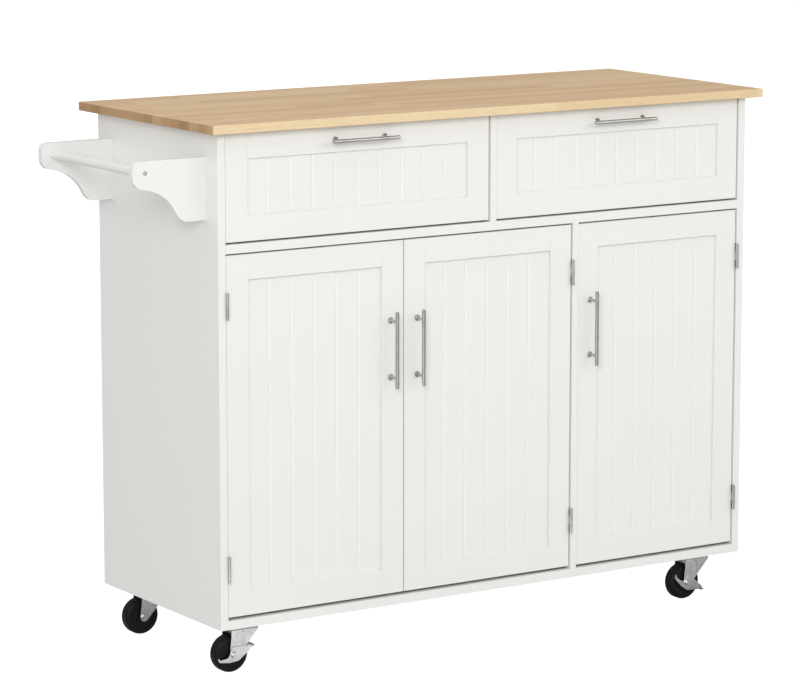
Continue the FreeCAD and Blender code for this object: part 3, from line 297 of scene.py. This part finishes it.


# %% [markdown]
# ### Butcher block
#
# The worktop's staves run its whole length in rows about 30 mm wide.  The finish is a thin clear oil,
# so the wood keeps a soft, wide sheen.  Long-grain faces are pale straw.  The front and back edges are
# tinted lighter and less saturated than the top, which is painted light, not a change in the wood.  End
# grain drinks more oil and goes browner, which is why the short ends look darker than the front edge.


# %% The worktop's sizes in metres, and its colours
STAVE_WIDTH = 0.030
STAVE_LENGTH = 0.43
RING_SPACING = 0.0034
RING_WAVINESS = 0.016
DEEPEST_STAVE = (0.640, 0.430, 0.225, 1.0)
MIDDLE_STAVE = (0.725, 0.510, 0.285, 1.0)
PALEST_STAVE = (0.790, 0.575, 0.345, 1.0)
RING_COLOUR = (0.46, 0.28, 0.13, 1.0)
FIBRE_COLOUR = (0.72, 0.53, 0.34, 1.0)
PORE_COLOUR = (0.33, 0.20, 0.10, 1.0)
# Painted light: a tint that makes the front and back edges lighter and less saturated than the top
PAINTED_LIGHT_EDGE_TINT = (1.04, 1.14, 1.20, 1.0)
THIRSTY_END_TINT = (0.54, 0.465, 0.385, 1.0)
SEALED_END_TINT = (0.74, 0.67, 0.58, 1.0)
CUT_RING_COLOUR = (0.33, 0.22, 0.11, 1.0)
GLUE_LINE_COLOUR = (0.36, 0.23, 0.12, 1.0)


# %% The worktop's wood
def butcher_block():
    material, tree, surface, place = new_material("butcher_block", IOR=1.47)
    stave = place_group(tree, staves_group, Vector=place, Stave_Width=STAVE_WIDTH,
                        Stave_Length=STAVE_LENGTH)
    wood = place_group(tree, rings_group, Vector=stave.outputs["Local"], Ring_Spacing=RING_SPACING,
                       Waviness=RING_WAVINESS)
    ramp = tree.nodes.new("ShaderNodeValToRGB")
    stops = ramp.color_ramp.elements
    stops[0].position, stops[0].color = 0.0, DEEPEST_STAVE
    stops[1].position, stops[1].color = 1.0, PALEST_STAVE
    middle = stops.new(0.5)
    middle.color = MIDDLE_STAVE
    tree.links.new(stave.outputs["Stave Tone"], ramp.inputs[0])
    ring_share = maths(tree, "MULTIPLY", wood.outputs["Rings"], 0.24)
    with_rings = mix_colours(tree, ring_share, ramp.outputs[0], RING_COLOUR)
    fibre_share = remap(tree, wood.outputs["Fibre"], 0.35, 0.75, 0.0, 0.30)
    with_fibre = mix_colours(tree, fibre_share, with_rings, FIBRE_COLOUR)
    pore_share = maths(tree, "MULTIPLY", wood.outputs["Pores"], 0.25)
    with_pores = mix_colours(tree, pore_share, with_fibre, PORE_COLOUR)
    facing = tree.nodes.new("ShaderNodeTexCoord").outputs["Normal"]
    facing = add_node(tree, "ShaderNodeSeparateXYZ", i0=facing)
    end_grain = remap(tree, maths(tree, "ABSOLUTE", facing.outputs[0]), 0.55, 0.8, 0.0, 1.0)
    # Painted light: faces that point to the front or back are tinted lighter and less saturated than the top
    painted_light_edge_mask = remap(tree, maths(tree, "ABSOLUTE", facing.outputs[1]), 0.55, 0.8, 0.0, 1.0)
    painted_light_edge_colour = mix_colours(tree, 1.0, with_pores, PAINTED_LIGHT_EDGE_TINT, "MULTIPLY")
    with_painted_light_edges = mix_colours(tree, painted_light_edge_mask, with_pores, painted_light_edge_colour)
    thirst = remap(tree, stave.outputs["Second Tone"], 0.15, 0.85, 0.0, 1.0)
    soaked = mix_colours(tree, thirst, THIRSTY_END_TINT, SEALED_END_TINT)
    darker = mix_colours(tree, 1.0, with_pores, soaked, "MULTIPLY")
    cut_rings = maths(tree, "MULTIPLY", wood.outputs["Rings"], 0.55)
    ringed = mix_colours(tree, cut_rings, darker, CUT_RING_COLOUR)
    with_ends = mix_colours(tree, end_grain, with_painted_light_edges, ringed)
    seam_share = maths(tree, "MULTIPLY", stave.outputs["Seam"], 0.30)
    finished = mix_colours(tree, seam_share, with_ends, GLUE_LINE_COLOUR)
    tree.links.new(finished, surface.inputs["Base Color"])
    sheen_drift = remap(tree, wood.outputs["Fibre"], 0.3, 0.8, 0.50, 0.38)
    tree.links.new(maths(tree, "ADD", sheen_drift, maths(tree, "MULTIPLY", end_grain, 0.15)),
                   surface.inputs["Roughness"])
    sunk = maths(tree, "MAXIMUM", stave.outputs["Seam"], maths(tree, "MULTIPLY", wood.outputs["Pores"], 0.5))
    height = maths(tree, "SUBTRACT", maths(tree, "MULTIPLY", wood.outputs["Fibre"], 0.5), sunk)
    bump_from(tree, surface, height, 0.00012)
    return material


# %% [markdown]
# ### Satin white paint, and the plainer boards
#
# The same skin group serves the paint, three plainer boards and the plastic of the catches.  Only the
# values differ: the paint is smoother and brighter, the shelves and drawer boxes are a dry white
# facing, and the back is thin hardboard with a deeper, blotchier skin.


# %% The painted and faced boards
def skinned_board(name, colour, roughness, peel_size, peel_depth, unevenness, soiling):
    material, tree, surface, place = new_material(name, IOR=1.48)
    skin = place_group(tree, skin_group, Vector=place, Colour=colour, Peel_Size=peel_size,
                       Roughness=roughness, Unevenness=unevenness, Soiling=soiling)
    tree.links.new(skin.outputs["Colour"], surface.inputs["Base Color"])
    tree.links.new(skin.outputs["Roughness"], surface.inputs["Roughness"])
    bump_from(tree, surface, skin.outputs["Height"], peel_depth)
    return material


# %% [markdown]
# ### Nickel, zinc and rubber
#
# Handles are satin nickel.  Hinges, pins and screws are nickel plate, a little warmer.  Casters and
# runners are bright zinc, neutral and more mottled.  Wheels are a hard black rubber: nearly black, dry,
# and very slightly dusty in patches.


# %% The metals
def plated(name, bright, dull, roughness, squeeze, streak_depth, bump_depth):
    material, tree, surface, place = new_material(name, Metallic=1.0)
    plate = place_group(tree, plating_group, Vector=place, Streak_Squeeze=squeeze, Bright=bright,
                        Dull=dull, Roughness=roughness, Streak_Depth=streak_depth)
    tree.links.new(plate.outputs["Colour"], surface.inputs["Base Color"])
    tree.links.new(plate.outputs["Roughness"], surface.inputs["Roughness"])
    bump_from(tree, surface, plate.outputs["Height"], bump_depth)
    return material


# %% The wheels' rubber
def wheel_rubber():
    material, tree, surface, place = new_material("black_wheel", Specular_IOR_Level=0.18)
    skin = place_group(tree, skin_group, Vector=place, Colour=(0.0045, 0.006, 0.0065, 1.0),
                       Peel_Size=1500.0, Roughness=0.50, Unevenness=0.25, Soiling=0.0)
    dust = remap(tree, noise(tree, place, 90.0, 5.0, 0.6), 0.5, 0.8, 0.0, 0.06)
    dusty = mix_colours(tree, dust, skin.outputs["Colour"], (0.08, 0.08, 0.075, 1.0))
    tree.links.new(dusty, surface.inputs["Base Color"])
    tree.links.new(skin.outputs["Roughness"], surface.inputs["Roughness"])
    bump_from(tree, surface, skin.outputs["Height"], 0.00005)
    return material


# %% Make them all, named as the record's material slots
SATIN_WHITE = (0.800, 0.798, 0.778, 1.0)
FACED_WHITE = (0.760, 0.757, 0.735, 1.0)
materials = {
    "butcher_block": butcher_block(),
    "white_paint": skinned_board("white_paint", SATIN_WHITE, 0.36, 700.0, 0.000012, 0.12, 0.05),
    "shelf_board": skinned_board("shelf_board", FACED_WHITE, 0.48, 1400.0, 0.00001, 0.10, 0.10),
    "drawer_board": skinned_board("drawer_board", FACED_WHITE, 0.52, 1400.0, 0.00001, 0.10, 0.12),
    "back_board": skinned_board("back_board", FACED_WHITE, 0.60, 1100.0, 0.00003, 0.16, 0.20),
    "white_plastic": skinned_board("white_plastic", FACED_WHITE, 0.40, 2400.0, 0.00001, 0.08, 0.05),
    "satin_nickel": plated("satin_nickel", (0.47, 0.47, 0.45, 1.0), (0.39, 0.39, 0.37, 1.0), 0.13,
                           (900.0, 900.0, 900.0), 0.14, 0.000008),
    "nickel_steel": plated("nickel_steel", (0.62, 0.61, 0.59, 1.0), (0.44, 0.43, 0.41, 1.0), 0.22,
                           (500.0, 500.0, 60.0), 0.16, 0.00001),
    "zinc_steel": plated("zinc_steel", (0.57, 0.575, 0.57, 1.0), (0.44, 0.445, 0.44, 1.0), 0.22,
                         (60.0, 700.0, 700.0), 0.18, 0.00001),
    "black_wheel": wheel_rubber(),
}
print("materials:", ", ".join(sorted(materials)))

# %% [markdown]
# ## Dress the frame
#
# The record says which material slot each CAD piece belongs to.  Each piece's own slots are pointed
# at the new material of that name.  The meshes themselves are never touched.

# %% Give every CAD piece its finish
for entry in frame["record"]["subparts"]:
    piece = frame["nodes"][entry["node"]]
    piece.data.materials.clear()
    piece.data.materials.append(materials[entry["material_slot"]])

# %% [markdown]
# ## The studio
#
# A plain white studio: a pale floor that runs off to the background, one big soft light from the front
# and left, a long weak one from the front and right, and a faint one on the end panel, which stays a
# shade darker than the fronts.  The surround is bright overhead and banded lower down, because satin
# metal only looks like metal when it has light and dark to mirror.


# %% The bands of light and dark that the metal mirrors, by compass heading round the island
def build_bands():
    tree, given, leave = new_group("Studio bands", [("Vector", VECTOR, None)], [("Glow", FLOAT)])
    flat = vector_maths(tree, "MULTIPLY", given["Vector"], (1.0, 1.0, 0.0))
    heading = vector_maths(tree, "NORMALIZE", flat)
    to_window = vector_maths(tree, "DOT_PRODUCT", heading, (-0.60, -0.80, 0.0))
    to_panel = vector_maths(tree, "DOT_PRODUCT", heading, (0.71, -0.71, 0.0))
    to_wall = vector_maths(tree, "DOT_PRODUCT", heading, (-0.99, 0.14, 0.0))
    window = remap(tree, to_window, 0.88, 0.97, 0.0, 1.0)
    panel = remap(tree, to_panel, 0.92, 0.985, 0.0, 0.50)
    wall = remap(tree, to_wall, 0.40, 0.95, 0.10, 0.28)
    glow = maths(tree, "ADD", window, maths(tree, "ADD", panel, wall))
    finish_group(tree, leave, Glow=glow)
    return tree


bands_group = build_bands()


# %% The floor: white to the eye, gentler as a lamp, and banded where metal mirrors it
FLOOR_GLOW = 0.44
WHITE_TO_THE_EYE = 0.50


def studio_floor():
    mesh = bpy.data.meshes.new("studio_floor")
    shape = bmesh.new()
    bmesh.ops.create_grid(shape, x_segments=8, y_segments=8, size=14.0)
    shape.to_mesh(mesh)
    shape.free()
    floor = bpy.data.objects.new("studio_floor", mesh)
    bpy.context.scene.collection.objects.link(floor)
    material, tree, surface, place = new_material("floor_paper", Roughness=0.9)
    fleck = remap(tree, noise(tree, place, 3.0, 3.0, 0.5), 0.3, 0.7, 0.0, 1.0)
    paper = mix_colours(tree, fleck, (0.20, 0.20, 0.20, 1.0), (0.24, 0.24, 0.24, 1.0))
    tree.links.new(paper, surface.inputs["Base Color"])
    surface.inputs["Emission Color"].default_value = (1.0, 1.0, 1.0, 1.0)
    ray = tree.nodes.new("ShaderNodeLightPath").outputs
    bands = place_group(tree, bands_group, Vector=place)
    glow = maths(tree, "MULTIPLY_ADD", ray["Is Camera Ray"], WHITE_TO_THE_EYE, FLOOR_GLOW)
    mirrored = maths(tree, "SUBTRACT", bands.outputs["Glow"], FLOOR_GLOW)
    glow = maths(tree, "MULTIPLY_ADD", ray["Is Glossy Ray"], mirrored, glow)
    tree.links.new(glow, surface.inputs["Emission Strength"])
    mesh.materials.append(material)


studio_floor()


# %% The lights
def softbox(name, place, aim, width, height, watts):
    light = bpy.data.lights.new(name, "AREA")
    light.shape = "RECTANGLE"
    light.size = width
    light.size_y = height
    light.energy = watts
    lamp = bpy.data.objects.new(name, light)
    lamp.location = place
    lamp.rotation_euler = (Vector(aim) - Vector(place)).to_track_quat("-Z", "Y").to_euler()
    bpy.context.scene.collection.objects.link(lamp)


softbox("key_softbox", (-2.5, -3.2, 2.0), (0.0, 0.0, 0.5), 1.1, 1.0, 54.0)
softbox("front_softbox", (0.9, -2.2, 1.5), (0.15, 0.0, 0.75), 2.0, 0.7, 12.0)
softbox("side_softbox", (-2.4, 0.3, 1.4), (-0.5, 0.0, 0.8), 1.0, 0.4, 3.4)


# %% The surround: bright overhead, with the same bands lower down
CEILING_GLOW = 0.92


def studio_surround():
    world = bpy.data.worlds.new("studio_surround")
    world.use_nodes = True
    tree = world.node_tree
    direction = tree.nodes.new("ShaderNodeTexCoord").outputs["Generated"]
    height = add_node(tree, "ShaderNodeSeparateXYZ", i0=direction).outputs[2]
    low = place_group(tree, bands_group, Vector=direction).outputs["Glow"]
    overhead = remap(tree, height, 0.22, 0.62, 0.0, 1.0)
    climb = maths(tree, "MULTIPLY", overhead, maths(tree, "SUBTRACT", CEILING_GLOW, low))
    glow = maths(tree, "ADD", low, climb)
    background = tree.nodes["Background"]
    background.inputs["Color"].default_value = (1.0, 1.0, 1.0, 1.0)
    tree.links.new(glow, background.inputs["Strength"])
    return world


bpy.context.scene.world = studio_surround()
bpy.context.scene.view_settings.view_transform = "Standard"

# %% [markdown]
# ## The camera
#
# A long lens from about six metres away, a little above the worktop and off to the left, keeps the
# cabinet's uprights almost parallel.

# %% Place the camera
CAMERA_PLACE = Vector((-3.349, -5.1725, 1.544))
CAMERA_HEADING = math.radians(32.93)
CAMERA_DIP = math.radians(9.65)
LENS_MM = 161.4
SENSOR_MM = 36.0
LENS_SHIFT = -0.009
forward = Vector((math.sin(CAMERA_HEADING) * math.cos(CAMERA_DIP),
                  math.cos(CAMERA_HEADING) * math.cos(CAMERA_DIP), -math.sin(CAMERA_DIP)))
lens = bpy.data.cameras.new("catalogue_camera")
lens.lens = LENS_MM
lens.sensor_width = SENSOR_MM
lens.shift_y = LENS_SHIFT
lens.clip_end = 60.0
camera = bpy.data.objects.new("catalogue_camera", lens)
camera.location = CAMERA_PLACE
camera.rotation_euler = forward.to_track_quat("-Z", "Y").to_euler()
bpy.context.scene.collection.objects.link(camera)
bpy.context.scene.camera = camera
print("camera is", round(CAMERA_PLACE.length, 2), "m from the island")
